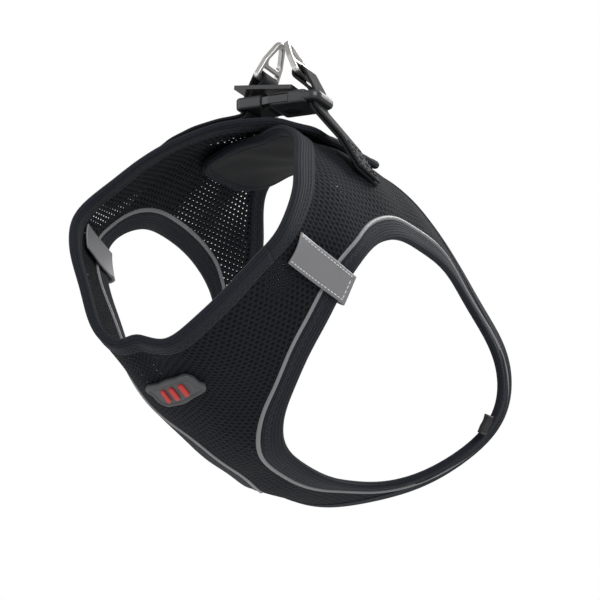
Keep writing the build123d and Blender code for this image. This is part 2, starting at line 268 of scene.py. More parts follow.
def right_leg(path):
    """The right leg hole: it sits a little nearer to the neck and to the middle of the belly."""
    s, t = path[:, 0] - 0.05, 2 - path[:, 1]
    return np.stack([s, t - 0.035 * np.clip((1.45 - t) / 0.25, 0, 1)], -1)


LEFT_PATH = even_loop(LEG_EDGE)
# the left leg hole's own directions: along the body, through the hole and across it
LEG_ALONG = unit(np.array([0.12, 0.99, 0]))
LEG_THROUGH = unit(np.array([0.93, -0.115, -0.35]))
LEG_ACROSS = np.cross(LEG_THROUGH, LEG_ALONG)


def flat_leg(points):
    """Points seen along the way the leg passes through its hole."""
    seen = points.copy()
    seen[..., 0] = abs(seen[..., 0])
    return np.stack([seen @ LEG_ALONG, seen @ LEG_ACROSS], -1)


RIGHT_PATH = right_leg(LEFT_PATH)
HOLES = {1: flat_leg(form(*LEFT_PATH.T)), -1: flat_leg(form(*RIGHT_PATH.T))}


def in_leg_hole(points, margin):
    """Whether each point lies in its side's leg hole or closer to its edge than margin."""
    left = in_outline(flat_leg(points), HOLES[1], margin)
    return np.where(points[:, 0] > 0, left, in_outline(flat_leg(points), HOLES[-1], margin))


def in_outline(p, a, margin):
    """Whether each flat point p lies in the outline a or closer to its corners than margin."""
    b = np.roll(a, -1, 0)
    px, py = p[:, None, 0], p[:, None, 1]
    crosses = (a[:, 1] > py) != (b[:, 1] > py)
    x = a[:, 0] + (py - a[:, 1]) / (b[:, 1] - a[:, 1] + 1e-12) * (b[:, 0] - a[:, 0])
    inside = (crosses & (px < x)).sum(1) % 2 == 1
    near = np.sqrt(((p[:, None] - a) ** 2).sum(-1)).min(1) < margin
    return inside | near


ROUND_LENGTH = 270  # about the form's length for each 1 of t
NECK_TO_GIRTH = 200  # about the form's greatest length from neck to girth
HOLE_MARGIN = 4.0  # mesh starts this far from a leg hole's edge, inside its tape


def panel(
    name, t_first, t_last, margin=3.0, thickness=2.4, start=neck_edge, stop=girth_edge, lift=0.0, cell=2.0
):
    """Sheet between two places round the body, its edges hidden in the bindings; its flat size and area."""
    columns = int((t_last - t_first) * ROUND_LENGTH / cell) + 2
    rows = int(NECK_TO_GIRTH / cell)
    t = np.linspace(t_first, t_last, columns)[None, :] + np.zeros((rows, 1))
    edge = margin / girth_length(t)
    low, high = start(t) + edge, stop(t) - edge
    s = low + (high - low) * np.linspace(0, 1, rows)[:, None]
    points = skin(s, t, lift + 0 * s).reshape(-1, 3)
    faces, corners = grid_faces(rows, columns)
    centres = points[np.array(faces)].mean(1)
    keep = ~in_leg_hole(centres, HOLE_MARGIN)
    u = np.interp(t, T_TABLE, U_TABLE)
    v = (s - 0.5) * girth_length(t)
    uvs = [[(u[a, b], v[a, b]) for a, b in square] for square in corners]
    faces = [f for f, k in zip(faces, keep) if k]
    uvs = [f for f, k in zip(uvs, keep) if k]
    piece = mesh_object(name, points, faces, uvs)
    bm = bmesh.new()
    bm.from_mesh(piece.data)
    loose = [v for v in bm.verts if not v.link_faces]
    bmesh.ops.delete(bm, geom=loose, context="VERTS")
    area = sum(f.calc_area() for f in bm.faces)
    bm.to_mesh(piece.data)
    bm.free()
    thick = piece.modifiers.new("thickness", "SOLIDIFY")
    thick.thickness = thickness * MM
    thick.offset = 0
    width = np.linalg.norm(np.diff(form(s[rows // 2], t[0]), axis=0), axis=1).sum()
    return piece, (width * MM, float(girth_length(t).mean() * (high - low).mean()) * MM), area


def smooth_path(corners, spacing=1.6, soften=7.0):
    """Open path of places (s, t) with its corners rounded."""
    corners = np.array(corners, float)
    place = form(*corners.T)
    length = run_along(place)
    at = np.linspace(0, length[-1], int(length[-1] / spacing))
    path = np.stack([np.interp(at, length, corners[:, k]) for k in (0, 1)], -1)
    half = int(soften / spacing)
    window = np.ones(2 * half + 1) / (2 * half + 1)
    for _ in range(2):
        padded = np.concatenate([path[:1]] * half + [path] + [path[-1:]] * half)
        padded[:half] = 2 * path[0] - path[half:0:-1]
        padded[-half:] = 2 * path[-1] - path[-2:-half - 2:-1]
        path = np.stack([np.convolve(padded[:, k], window, "valid") for k in (0, 1)], -1)
    return path


# ---------------------------------------------------------------- materials
class Nodes:
    """Short form for building a shader."""

    def __init__(self, name):
        self.material = bpy.data.materials.new(name)
        self.material.use_nodes = True
        self.tree = self.material.node_tree
        self.shader = self.tree.nodes["Principled BSDF"]

    def add(self, kind, **settings):
        node = self.tree.nodes.new(kind)
        for key, value in settings.items():
            if key in node.inputs:
                node.inputs[key].default_value = value
            else:
                setattr(node, key, value)
        return node

    def link(self, a, b):
        self.tree.links.new(a, b)

    def math(self, operation, a, b=0.0):
        node = self.add("ShaderNodeMath", operation=operation)
        for socket, value in zip(node.inputs, (a, b)):
            if isinstance(value, (int, float)):
                socket.default_value = value
            else:
                self.link(value, socket)
        return node.outputs[0]

    def uv(self):
        """The two UV coordinates, in millimetres."""
        split = self.add("ShaderNodeSeparateXYZ")
        self.link(self.add("ShaderNodeTexCoord").outputs["UV"], split.inputs[0])
        return split.outputs[0], split.outputs[1]

    def noise(self, scale, detail=3.0, coordinate="Object"):
        node = self.add("ShaderNodeTexNoise", Scale=scale, Detail=detail)
        self.link(self.add("ShaderNodeTexCoord").outputs[coordinate], node.inputs["Vector"])
        return node.outputs["Fac"]

    def smoothstep(self, value, low, high):
        node = self.add("ShaderNodeMapRange", interpolation_type="SMOOTHSTEP")
        self.link(value, node.inputs[0])
        node.inputs[1].default_value = low
        node.inputs[2].default_value = high
        return node.outputs[0]

    def mix(self, factor, a, b):
        node = self.add("ShaderNodeMix", data_type="RGBA")
        self.link(factor, node.inputs[0])
        for socket, value in ((node.inputs[6], a), (node.inputs[7], b)):
            if isinstance(value, tuple):
                socket.default_value = (*value, 1)
            else:
                self.link(value, socket)
        return node.outputs[2]

    def bump(self, height, distance, strength=1.0):
        node = self.add("ShaderNodeBump", Strength=strength, Distance=distance * MM)
        self.link(height, node.inputs["Height"])
        self.link(node.outputs[0], self.shader.inputs["Normal"])

    def color(self, value):
        self.link(value, self.shader.inputs["Base Color"])

    def set(self, **values):
        for key, value in values.items():
            self.shader.inputs[key.replace("_", " ")].default_value = value
        return self


def air_mesh(name, across, along, open_share, base, painted_hole_shade, clear_reach=0.2):
    """Open 3-D air mesh: staggered oval holes between ribs, painted shade inside each hole, clear inside
    clear_reach, with fine knitting.
    """
    n = Nodes(name).set(Roughness=0.8, Sheen_Weight=0.02, Sheen_Roughness=0.5, Specular_IOR_Level=0.12)
    u, v = n.uv()
    above_zero = 400.0  # an even number of holes that keeps the counts positive
    column = n.math("ADD", n.math("DIVIDE", u, across), above_zero)
    odd = n.math("MODULO", n.math("FLOOR", column), 2.0)
    x = n.math("SUBTRACT", n.math("FRACT", column), 0.5)
    row = n.math("ADD", n.math("DIVIDE", v, along), above_zero)
    row = n.math("ADD", row, n.math("MULTIPLY", odd, 0.5))
    y = n.math("SUBTRACT", n.math("FRACT", row), 0.5)
    squares = [n.math("POWER", n.math("DIVIDE", part, share), 2.0) for part, share in zip((x, y), open_share)]
    reach = n.math("SQRT", n.math("ADD", *squares))
    solid = n.smoothstep(reach, 0.75, 1.25)
    knit = n.noise(1800.0, 2.0)
    patch = n.noise(26.0, 2.0)
    shade = n.mix(patch, tuple(0.8 * c for c in base), tuple(1.25 * c for c in base))
    shade = n.mix(n.smoothstep(knit, 0.3, 0.75), shade, tuple(1.7 * c for c in base))
    # painted shade: each hole is coloured nearly black round its clear middle
    n.color(n.mix(solid, painted_hole_shade, shade))
    n.bump(n.math("ADD", solid, n.math("MULTIPLY", knit, 0.35)), 0.8)
    clear = n.add("ShaderNodeBsdfTransparent")
    mixed = n.add("ShaderNodeMixShader")
    n.link(n.smoothstep(reach, clear_reach, clear_reach + 0.08), mixed.inputs[0])
    n.link(clear.outputs[0], mixed.inputs[1])
    n.link(n.shader.outputs[0], mixed.inputs[2])
    n.link(mixed.outputs[0], n.tree.nodes["Material Output"].inputs["Surface"])
    return n.material


def tape(name, base, thread, zigzag, ribs=1.35):
    """Ribbed stretch tape with a zigzag seam, with painted shade in the ribs' grooves and painted highlight
    on their crests.
    """
    n = Nodes(name).set(Roughness=0.78, Sheen_Weight=0.05, Sheen_Roughness=0.45, Specular_IOR_Level=0.2)
    u, v = n.uv()
    rib = n.math("ADD", n.math("MULTIPLY", n.math("SINE", n.math("MULTIPLY", v, 2 * pi / ribs)), 0.5), 0.5)
    stitch = n.math("ADD", n.math("MULTIPLY", n.math("SINE", n.math("MULTIPLY", u, 2 * pi / 0.8)), 0.5), 0.5)
    middle, swing, pitch = zigzag
    phase = n.math("SUBTRACT", n.math("FRACT", n.math("DIVIDE", u, pitch)), 0.5)
    wave = n.math("MULTIPLY", n.math("ABSOLUTE", phase), 2.0)
    lines = []
    for centre in (middle, PROFILE_LENGTH - middle):
        target = n.math("ADD", n.math("MULTIPLY", n.math("SUBTRACT", wave, 0.5), 2 * swing), centre)
        off = n.math("ABSOLUTE", n.math("SUBTRACT", v, target))
        lines.append(n.smoothstep(off, 0.5, 0.22))
    seam = n.math("MAXIMUM", lines[0], lines[1])
    knit = n.noise(1500.0, 2.0)
    # painted shade and highlight: the ribs' grooves are coloured darker and their crests lighter
    shade = n.mix(rib, tuple(0.55 * c for c in base), tuple(1.3 * c for c in base))
    shade = n.mix(n.smoothstep(knit, 0.35, 0.8), shade, tuple(1.8 * c for c in base))
    n.color(n.mix(seam, shade, thread))
    height = n.math("ADD", n.math("MULTIPLY", rib, 0.5), n.math("MULTIPLY", stitch, 0.15))
    height = n.math("ADD", height, n.math("MULTIPLY", knit, 0.25))
    n.bump(n.math("ADD", height, n.math("MULTIPLY", seam, 0.5)), 0.4)
    return n.material


def woven(name, base, light, pitch=(1.5, 1.25), depth=0.3):
    """Plain-woven webbing or lining, with painted highlight on the weave's raised crossings and painted shade
    in its hollows.
    """
    n = Nodes(name).set(Roughness=0.7, Sheen_Weight=0.05, Sheen_Roughness=0.4, Specular_IOR_Level=0.25)
    u, v = n.uv()
    a = n.math("SINE", n.math("MULTIPLY", u, 2 * pi / pitch[0]))
    b = n.math("SINE", n.math("MULTIPLY", v, 2 * pi / pitch[1]))
    weave = n.math("ADD", n.math("MULTIPLY", n.math("MULTIPLY", a, b), 0.5), 0.5)
    fibre = n.noise(2200.0, 2.0)
    # painted highlight and shade: the weave's raised crossings take the light colour, its hollows the base
    shade = n.mix(weave, base, light)
    n.color(n.mix(n.math("MULTIPLY", fibre, 0.5), shade, tuple(0.5 * c for c in base)))
    n.bump(n.math("ADD", weave, n.math("MULTIPLY", fibre, 0.4)), depth)
    return n.material


def plain(name, base, roughness, grain=900.0, depth=0.05, change=0.12, metallic=0.0, **more):
    """Moulded, cast or coated surface with a fine grain and slight unevenness of tone."""
    n = Nodes(name).set(Metallic=metallic, **more)
    tone = n.noise(40.0, 3.0)
    fine = n.noise(grain, 3.0)
    n.color(n.mix(tone, tuple(c * (1 - change) for c in base), tuple(min(c * (1 + change), 1) for c in base)))
    n.link(n.math("ADD", n.math("MULTIPLY", fine, 0.14), roughness - 0.07), n.shader.inputs["Roughness"])
    n.bump(fine, depth)
    return n.material


def paint(piece, material):
    piece.data.materials.clear()
    piece.data.materials.append(material)


BINDING_WIDTH = 9.0
BINDING_FACE = [  # its outer face, from its free edge to its fold
    (9.0, 1.3), (8.6, 1.6), (7.4, 1.75), (6.2, 1.6), (5.0, 1.7),
    (3.6, 1.9), (2.0, 2.0), (0.7, 1.75), (-0.2, 1.1),
]
BINDING_PROFILE = BINDING_FACE + [(-0.5, 0.0)] + [(d, -lift) for d, lift in reversed(BINDING_FACE)]
PROFILE_LENGTH = float(run_along(np.array(BINDING_PROFILE))[-1])

# the last colour is painted shade inside the mesh's holes
MESH_LOOK = (2.6, 3.5, (0.34, 0.33), (0.0050, 0.0064, 0.0100), (0.0005, 0.0006, 0.0009))
MESH = air_mesh("air_mesh", *MESH_LOOK)
SHEER_MESH = air_mesh("air_mesh_against_light", *MESH_LOOK, clear_reach=0.42)
TAPE = tape("stretch_tape", (0.0058, 0.0076, 0.0122), (0.015, 0.019, 0.028), zigzag=(2.6, 1.0, 3.4))
REFLECTIVE = plain("reflective_tape", (0.19, 0.19, 0.198), 0.42, grain=2600.0, depth=0.04, change=0.08)
# the second colour of each weave is a painted highlight on its raised crossings
WEBBING = woven("webbing", (0.0055, 0.006, 0.0078), (0.019, 0.0202, 0.0245))
LINING = woven("wing_lining", (0.005, 0.0056, 0.0075), (0.011, 0.0124, 0.0155), (0.9, 0.9), 0.15)
PLASTIC = plain("buckle_acetal", (0.026, 0.027, 0.029), 0.34, grain=1400.0, depth=0.03)
NICKEL = plain("satin_nickel", (0.62, 0.61, 0.59), 0.42, grain=700.0, depth=0.02, change=0.05, metallic=1.0)
RUBBER = plain("badge_rubber", (0.055, 0.057, 0.06), 0.5, grain=1200.0, depth=0.03)
RED = plain("emblem_rubber", (0.5, 0.012, 0.01), 0.45, grain=1200.0, depth=0.03)
PILE = plain("hook_and_loop", (0.02, 0.02, 0.022), 0.9, grain=2500.0, depth=0.5, Sheen_Weight=0.1)
THREAD = plain("thread", (0.02, 0.02, 0.024), 0.6, grain=3000.0, depth=0.05, Specular_IOR_Level=0.25)
LABEL = plain("label_satin", (0.012, 0.012, 0.014), 0.4, grain=2600.0, depth=0.05, Specular_IOR_Level=0.25)

# ---------------------------------------------------------------- fabric of the vest
VEST, TONGUE = "vest", "wing_tongue_body"
END_MARGIN = 0.012  # mesh stops short of a wing's end by this much of t


def finish_piece(piece, material, nodes, body=VEST):
    """Give a piece its material, slot, replaced nodes and body."""
    paint(piece, material)
    if nodes:
        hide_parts(*nodes)
    if body:
        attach(piece, body)


def bend_piece(piece):
    """Bakes the place of a piece of the left wing, which reaches into the tongue, into its mesh."""
    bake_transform(piece)


left_wing, flat, area = panel("left_wing", WING_END_LEFT + END_MARGIN, SHOULDER)
finish_piece(left_wing, MESH, ["left_wing_panel", "wing_tongue"], None)
bend_piece(left_wing)

front, flat, area = panel("front_panel", SHOULDER, 2 - SHOULDER)
finish_piece(front, MESH, ["chest_panel", "left_shoulder_panel", "right_shoulder_panel"])

right_wing, flat, area = panel("right_wing", 2 - SHOULDER, WING_END_RIGHT - END_MARGIN)
finish_piece(right_wing, SHEER_MESH, ["right_wing_panel"])

tongue_lining, _, _ = panel("tongue_lining", WING_END_LEFT + 0.015, 0.09, 6.0, 0.5, lift=-1.55)
finish_piece(tongue_lining, LINING, [], None)
bend_piece(tongue_lining)


def edge_line(edge, t_first, t_last, count=120):
    """Places along one edge of the vest."""
    t = np.linspace(t_first, t_last, count)
    return list(zip(edge(t), t))


tongue_path = smooth_path(
    edge_line(neck_edge, SHOULDER, WING_END_LEFT) + edge_line(girth_edge, WING_END_LEFT, SHOULDER)
)
wing_binding = strip("left_wing_binding", tongue_path, BINDING_PROFILE, side=-1)
finish_piece(wing_binding, TAPE, ["tongue_binding", "left_neck_binding"], None)
bend_piece(wing_binding)

main_path = smooth_path(
    edge_line(neck_edge, SHOULDER, WING_END_RIGHT, 300) + edge_line(girth_edge, WING_END_RIGHT, SHOULDER, 300)
)
main_binding = strip("main_binding", main_path, BINDING_PROFILE, side=1)
finish_piece(main_binding, TAPE, ["right_neck_binding", "girth_binding", "wing_end_binding"])


def leg_tape_width(path):
    """Width of a leg hole's tape: wide beside the chest, narrow in the band behind the leg."""
    s, t = path[:, 0], 1 - abs(1 - path[:, 1])
    chest = (soft_step((t - 0.46) / 0.08) - 0.4 * soft_step((t - 0.66) / 0.12)) * soft_step((0.82 - s) / 0.2)
    return 8.2 + 3.8 * chest - 3.0 * soft_step((s - 0.74) / 0.12)


leg_profile = [(d, n * 0.88) for d, n in BINDING_PROFILE]
PIPING_GAP = 1.2  # from the tape's edge to the middle of the piping
piping_profile = [(1.45 * cos(a), 1.95 * sin(a)) for a in np.linspace(0, 2 * pi, 12, endpoint=False)]
for label, path, side in (("left", LEFT_PATH, 1), ("right", RIGHT_PATH, -1)):
    width = leg_tape_width(path)
    leg_tape = strip(f"{label}_leg_tape", path, leg_profile, side, True, widen=width / BINDING_WIDTH)
    finish_piece(leg_tape, TAPE, [f"{label}_leg_binding"])
    piping = strip(f"{label}_leg_cord_trim", path, piping_profile, side, True, shift=width + PIPING_GAP)
    finish_piece(piping, REFLECTIVE, [f"{label}_leg_piping"])


# ---------------------------------------------------------------- patches: tabs, badge, label, pads
class Patch:
    """Flat pattern laid on the form: x runs from middle towards heading, in millimetres."""

    def __init__(self, middle, heading):
        self.middle = middle
        self.centre = form(*middle)
        self.out = normal(*middle)
        across = form(*heading) - self.centre
        self.x = unit(across - self.out * (across @ self.out))
        self.y = np.cross(self.out, self.x)

    def place(self, x, y, lift):
        """Places of the pattern on the fabric, moved square to it by lift."""
        x, y = np.broadcast_arrays(np.asarray(x, float), np.asarray(y, float))
        target = self.centre + x[..., None] * self.x + y[..., None] * self.y
        s, t = settle(self.middle[0] + 0 * x, self.middle[1] + 0 * x, target, 8)
        return skin(s, t, lift + 0 * x)


TAB_START = -24.5
TAB_FOLDS = {"left": 21.5, "right": 12.0}
TAB_EDGES = (-7.2, 6.0)
TAB_LEAF = 2.7  # lift of each of a tab's two leaves
STITCH_LIFT = 3.12
STITCH_HALF = 0.75


def tab_wave(x, y):
    """Gentle unevenness of a tab's leaves."""
    return 0.25 * np.sin(x / 6 + y / 5)


def tab(label, mirrored):
    """Reflective tape over the shoulder, folded round the leg hole's edge, with its rows of stitches."""
    flip = (lambda t: 2 - t) if mirrored else (lambda t: t)
    patch = Patch((0.175, flip(0.5275)), (0.29, flip(0.5525)))
    fold = TAB_FOLDS[label]
    path = [(x, TAB_LEAF) for x in np.linspace(TAB_START, fold, 36)]
    path += [(fold + TAB_LEAF * sin(a), TAB_LEAF * cos(a)) for a in np.linspace(0.2, pi - 0.2, 9)]
    path += [(x, -TAB_LEAF) for x in np.linspace(fold, TAB_START, 36)]
    path = np.array(path)
    x, lift = path[:, :1], path[:, 1:]
    y = np.linspace(*TAB_EDGES, 13)
    points = patch.place(x, y[None, :], lift + tab_wave(x, y))
    faces, corners = grid_faces(len(path), len(y))
    run = run_along(path)
    uvs = [[(run[a], y[b]) for a, b in square] for square in corners]
    piece = mesh_object(f"{label}_tab", points.reshape(-1, 3), faces, uvs)
    thick = piece.modifiers.new("thickness", "SOLIDIFY")
    thick.thickness = 0.7 * MM
    thick.offset = 0
    finish_piece(piece, REFLECTIVE, [f"{label}_reflective_tab"])
    rows = [[(x, edge) for x in np.arange(-23, fold - 1.5, 2.6)] for edge in (-5.9, 4.7)]
    rows.append([(fold - 2.5, y) for y in np.arange(-4.6, 4, 2.2)])
    ends = []
    for row, along in zip(rows, ((1, 0), (1, 0), (0, 1))):
        for x, y in row:
            lift = STITCH_LIFT + tab_wave(x, y)
            dx, dy = STITCH_HALF * along[0], STITCH_HALF * along[1]
            ends.append((patch.place(x - dx, y - dy, lift), patch.place(x + dx, y + dy, lift), patch.out))
    finish_piece(stitches(f"{label}_tab_stitches", ends, 0.26), THREAD_LIGHT, [])


THREAD_SIDES = 6
THREAD_RINGS = ((-0.1, 0.25, -0.15), (0.1, 0.9, 0.02), (0.5, 1, 0.1), (0.9, 0.9, 0.02), (1.1, 0.25, -0.15))


def stitches(name, ends, radius):
    """Short threads, each from a to b and humped along out: rings at a share of its length."""
    points, faces = [], []
    for a, b, out in ends:
        a, b = np.asarray(a), np.asarray(b)
        along = unit(b - a)
        side = np.cross(along, out)
        base = len(points)
        for f, grow, hump in THREAD_RINGS:
            middle = a + (b - a) * f + out * hump
            for k in range(THREAD_SIDES):
                angle = 2 * pi * k / THREAD_SIDES
                points.append(middle + radius * grow * (cos(angle) * side + sin(angle) * np.asarray(out)))
        rings, _ = grid_faces(len(THREAD_RINGS), THREAD_SIDES, close_columns=True)
        faces += [[base + corner for corner in face] for face in rings]
        faces.append([base + k for k in range(THREAD_SIDES)][::-1])
        faces.append([len(points) - THREAD_SIDES + k for k in range(THREAD_SIDES)])
    return mesh_object(name, points, faces)


THREAD_LIGHT = plain("tab_thread", (0.62, 0.62, 0.63), 0.6, grain=3000.0, depth=0.05)
tab("left", False)
tab("right", True)


def rounded_level(x, y, half_x, half_y, radius):
    """Distance inside a rounded rectangle's edge."""
    qx, qy = abs(x) - half_x + radius, abs(y) - half_y + radius
    return radius - np.hypot(np.maximum(qx, 0), np.maximum(qy, 0)) - np.minimum(np.maximum(qx, qy), 0)


BADGE_HALF = (12.5, 7.5)
BADGE_CORNER = 3.2
BAR_RADIUS = 1.2
BAR_STRAIGHT = 2.8
BAR_SLANT = 0.45


def badge(patch):
    """Moulded badge: a raised rim and a groove inside it."""
    rings = np.concatenate([[0.0, 0.0, 0.35, 0.9, 1.5, 1.9, 2.3, 2.8], np.linspace(3.4, 7.4, 8)])
    lifts = np.array([1.75, 3.2, 3.75, 3.95, 3.75, 3.3, 3.3, 3.55] + [3.6] * 8)
    count = 120
    angle = np.linspace(0, 2 * pi, count, endpoint=False)
    points = []
    for inset, lift in zip(rings, lifts):
        half_x, half_y = BADGE_HALF[0] - inset, BADGE_HALF[1] - inset
        corner = max(BADGE_CORNER - inset, 0.4)
        ray = np.stack([np.cos(angle) * half_x * 1.3, np.sin(angle) * half_y * 1.3], -1)
        low, high = np.zeros(count), np.ones(count)
        for _ in range(24):
            middle = (low + high) / 2
            inside = rounded_level(*(ray * middle[:, None]).T, max(half_x, 0.1), max(half_y, 0.1), corner) > 0
            low, high = np.where(inside, middle, low), np.where(inside, high, middle)
        x, y = (ray * low[:, None]).T
        x = x + 0.12 * y + 0.35 * np.sin(y * 0.75)
        y = y + 0.35 * np.sin(x * 0.5)
        points.append(patch.place(x, y, lift))
    points = np.array(points)
    faces, _ = grid_faces(len(rings), count, False, True)
    faces.append([(len(rings) - 1) * count + k for k in range(count)])
    faces.append(list(range(count))[::-1])
    piece = mesh_object("badge", points.reshape(-1, 3), faces)
    fix_normals(piece)
    finish_piece(piece, RUBBER, ["chest_badge"])


def emblem(patch):
    """Three raised slanted bars in the middle of the badge."""
    rings = ((0, 3.5), (0, 4.2), (0.15, 4.5), (0.5, 4.6))
    count = 24
    points, faces = [], []
    for bar_x in (-5, 0, 5):
        base = len(points)
        for inset, lift in rings:
            for k in range(count):
                a = 2 * pi * k / count
                end = BAR_STRAIGHT if sin(a) > 0 else -BAR_STRAIGHT
                x, y = (BAR_RADIUS - inset) * cos(a), (BAR_RADIUS - inset) * sin(a) + end
                points.append(patch.place(bar_x + x + BAR_SLANT * y, y, lift))
        sides, _ = grid_faces(len(rings), count, close_columns=True)
        faces += [[base + corner for corner in face] for face in sides]
        faces.append([len(points) - count + k for k in range(count)])
    piece = mesh_object("emblem", points, faces)
    fix_normals(piece)
    finish_piece(piece, RED, ["badge_emblem"])


badge_patch = Patch((0.155, 0.96), (0.13, 0.86))
badge(badge_patch)
emblem(badge_patch)

PAD_START, PAD_STOP = 0.43, 0.74  # the pads' front and rear edges in s


def pad(name, nodes, t_first, t_last, lift, body):
    """Hook or loop fastening sewn flat on a wing."""
    low, high = (lambda t: PAD_START + 0 * t), (lambda t: PAD_STOP + 0 * t)
    piece, _, _ = panel(name, t_first, t_last, 0.0, 0.7, low, high, lift, cell=3.0)
    finish_piece(piece, PILE, nodes, body)


pad("hook_strip", ["hook_pad"], -0.165, 0.03, 2.1, TONGUE)
pad("loop_strip", ["loop_pad"], 1.835, 2.03, -2.1, VEST)


def seam_label():
    """Little folded label caught in the leg hole's seam."""
    patch = Patch((0.928, 0.69), (1, 0.69))
    path = [(x, 3.6) for x in np.linspace(3, -3, 8)]
    path += [(-3 - 1.0 * sin(a), 2.6 + 1.0 * cos(a)) for a in np.linspace(0.3, pi - 0.3, 6)]
    path += [(x, 2.7) for x in np.linspace(-3, 3, 8)]
    path = np.array(path)
    y = np.linspace(-4.5, 4.5, 8)
    points = patch.place(path[:, 0][:, None], y[None, :], path[:, 1][:, None] + 0.15 * np.sin(y))
    faces, _ = grid_faces(len(path), len(y))
    piece = mesh_object("label_loop", points.reshape(-1, 3), faces)
    thick = piece.modifiers.new("thickness", "SOLIDIFY")
    thick.thickness = 0.35 * MM
    finish_piece(piece, LABEL, ["seam_label"])


seam_label()

# ---------------------------------------------------------------- straps
TILT = radians(8)
RIG_X = np.array([cos(TILT), 0, sin(TILT)])
RIG_Z = np.array([-sin(TILT), 0, cos(TILT)])
RIG_CENTRE = np.array([0, 0, -22.7])
RING_X, RING_Z, LOOP = 9.8, 12.6, 2.8
GAP = 0.9  # half the distance between the middles of two layers
SLANT = 0.5  # how far forwards a strap runs for each millimetre out from SLANT_START
SLANT_START = 19
TURN_RUN = 15
STRAP_BEND = 2.4
STRAP_STEP = 0.7
STRAP_LEAN = 0.35  # how far a strap leans over to lie flat on the wing
HIGH_Z = 3.6  # where both layers leave the top of the buckle's slot
THREAD_LIFT = 0.75
LEFT_SLOT, RIGHT_SLOT = 16.5, -16.3
STRAP_FACE = [
    (-7.5, 0), (-7.35, 0.45), (-6.9, 0.68), (-5, 0.62), (0, 0.6), (5, 0.62), (6.9, 0.68), (7.35, 0.45),
]
SEAM_HALF = 5.9  # half the width of the box of stitches
SEAM_START, SEAM_STOP = 2.0, 17.6  # its two ends, from the strap's sewn end
SEAM_PITCH = 2.6
SEAM_STITCH = 1.7


def touch_point(point, side, turn):
    """Where the line from a point touches the loop of webbing round a ring's bar."""
    x, z = side * RING_X, RING_Z
    reach = hypot(x - point[0], z - point[1])
    heading = atan2(z - point[1], x - point[0]) + turn * asin(LOOP / reach)
    run = sqrt(reach**2 - LOOP**2)
    return (point[0] + run * cos(heading), point[1] + run * sin(heading))


def over_wing(t, lift):
    """Place over the wing beneath the middle of a strap, in the hardware's side view."""
    neck, girth = closed_curve(NECK, np.array(t / 2)), closed_curve(GIRTH, np.array(t / 2))
    s = neck[1] / (neck[1] - girth[1])
    place = form(np.array(s), np.array(t)) + (lift - ripple(s, t)) * outward(np.array(t)) - RIG_CENTRE
    return (float(place @ RIG_X), float(place @ RIG_Z))


def in_space(point):
    """A place in the hardware's side view, as a place in space on its middle plane."""
    return RIG_CENTRE + point[0] * RIG_X + point[1] * RIG_Z


def bent(points, trim):
    """A path with its corners rounded, trim away from each corner."""
    points = [np.array(p, float) for p in points]
    out = [points[0]]
    for a, b, c in zip(points, points[1:], points[2:]):
        back = b + (a - b) * min(trim / np.linalg.norm(a - b), 0.45)
        on = b + (c - b) * min(trim / np.linalg.norm(c - b), 0.45)
        out += [back * (1 - f) ** 2 + 2 * b * f * (1 - f) + on * f**2 for f in np.linspace(0, 1, 7)]
    return out + [points[-1]]


def slant(path):
    """How far forwards a strap's middle lies: it runs slightly towards the neck below the buckle."""
    return -SLANT * np.maximum(abs(np.asarray(path)[..., 0]) - SLANT_START, 0)


def width_direction(path):
    """Direction across each place of a strap: below the buckle it turns to lie flat on the wing."""
    x = np.asarray(path)[..., 0]
    turned = soft_step((abs(x) - SLANT_START) / TURN_RUN)
    return unit(np.stack([STRAP_LEAN * turned * np.sign(x), 1 + 0 * x, -STRAP_LEAN * turned], -1))


def strap(name, node, side, slot, outer_sewn, inner_sewn, outer_low, inner_low, pulled_by=None):
    """Webbing from the wing, through the buckle's slot, round the ring's bar and back."""
    outer_high, inner_high = (slot + side * GAP, HIGH_Z), (slot - side * GAP, HIGH_Z)
    first_touch, last_touch = touch_point(outer_high, side, -side), touch_point(inner_high, side, side)
    a = atan2(first_touch[1] - RING_Z, first_touch[0] - side * RING_X)
    b = atan2(last_touch[1] - RING_Z, last_touch[0] - side * RING_X)
    sweep = side * ((side * (b - a)) % (2 * pi))
    turns = a + sweep * np.linspace(0, 1, 26)[1:-1]
    path = bent([*outer_sewn, outer_low, outer_high, first_touch], STRAP_BEND)
    path += [(side * RING_X + LOOP * cos(turn), RING_Z + LOOP * sin(turn)) for turn in turns]
    path += bent([last_touch, inner_high, inner_low, *inner_sewn], STRAP_BEND)
    path = np.array(path)
    run = run_along(path)
    at = np.linspace(0, run[-1], int(run[-1] / STRAP_STEP))
    path = np.stack([np.interp(at, run, path[:, k]) for k in (0, 1)], -1)
    along = unit(np.gradient(path, axis=0))
    square = np.stack([-along[:, 1], along[:, 0]], -1)
    profile = STRAP_FACE + [(-y, -n) for y, n in STRAP_FACE]
    points = []
    for y, n in profile:
        flat = path + n * square
        middle = RIG_CENTRE + flat[:, :1] * RIG_X + flat[:, 1:] * RIG_Z + slant(path)[:, None] * [0, 1, 0]
        points.append(middle + y * width_direction(path))
    points = np.array(points)
    across = run_along(np.array(profile + profile[:1]))
    faces, corners = grid_faces(len(profile), len(path), True, False)
    uvs = [[(at[q], across[p]) for p, q in c] for c in corners]
    for end in (0, len(path) - 1):
        faces.append([p * len(path) + end for p in range(len(profile))])
        uvs.append([(0, 0)] * len(profile))
    piece = mesh_object(name, points.reshape(-1, 3), faces, uvs)
    fix_normals(piece)
    finish_piece(piece, WEBBING, [node], None if pulled_by else VEST)
    if pulled_by:
        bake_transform(piece)
    ends = box_seam(path, square, at, side)
    finish_piece(stitches(f"{name}_stitches", ends, 0.24), THREAD, [])


